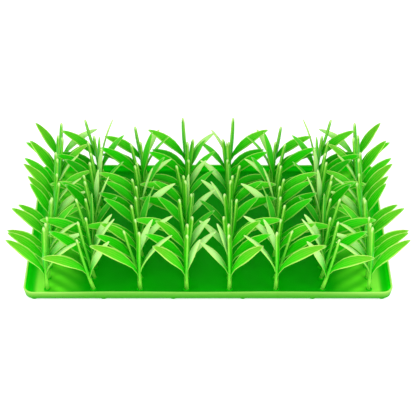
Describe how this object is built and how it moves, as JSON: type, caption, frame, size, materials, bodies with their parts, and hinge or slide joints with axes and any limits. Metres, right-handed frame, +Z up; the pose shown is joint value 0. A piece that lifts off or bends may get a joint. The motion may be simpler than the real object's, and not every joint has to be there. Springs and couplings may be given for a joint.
{
  "type": "silicone grass lick mat",
  "caption": "Shallow rimmed tray in moulded silicone on low feet, its floor planted with columns of soft leafy grass that hold scattered or spread pet food.",
  "frame": {"origin": "middle of the footprint, on the surface the feet stand on", "axes": "+X along the long side to the right as seen from the front, +Y to the back, +Z up"},
  "size_m": [0.3514, 0.182, 0.0752],
  "materials": {
    "tray_silicone": "satin moulded silicone",
    "leaf_silicone": "satin moulded silicone"
  },
  "bodies": {
    "root": {"tray": "tray_silicone", "grass_strip_1": "leaf_silicone", "grass_strip_2": "leaf_silicone", "grass_strip_3": "leaf_silicone", "grass_strip_4": "leaf_silicone", "grass_strip_5": "leaf_silicone", "grass_strip_6": "leaf_silicone", "grass_strip_7": "leaf_silicone", "grass_strip_8": "leaf_silicone"}
  },
  "joints": []
}
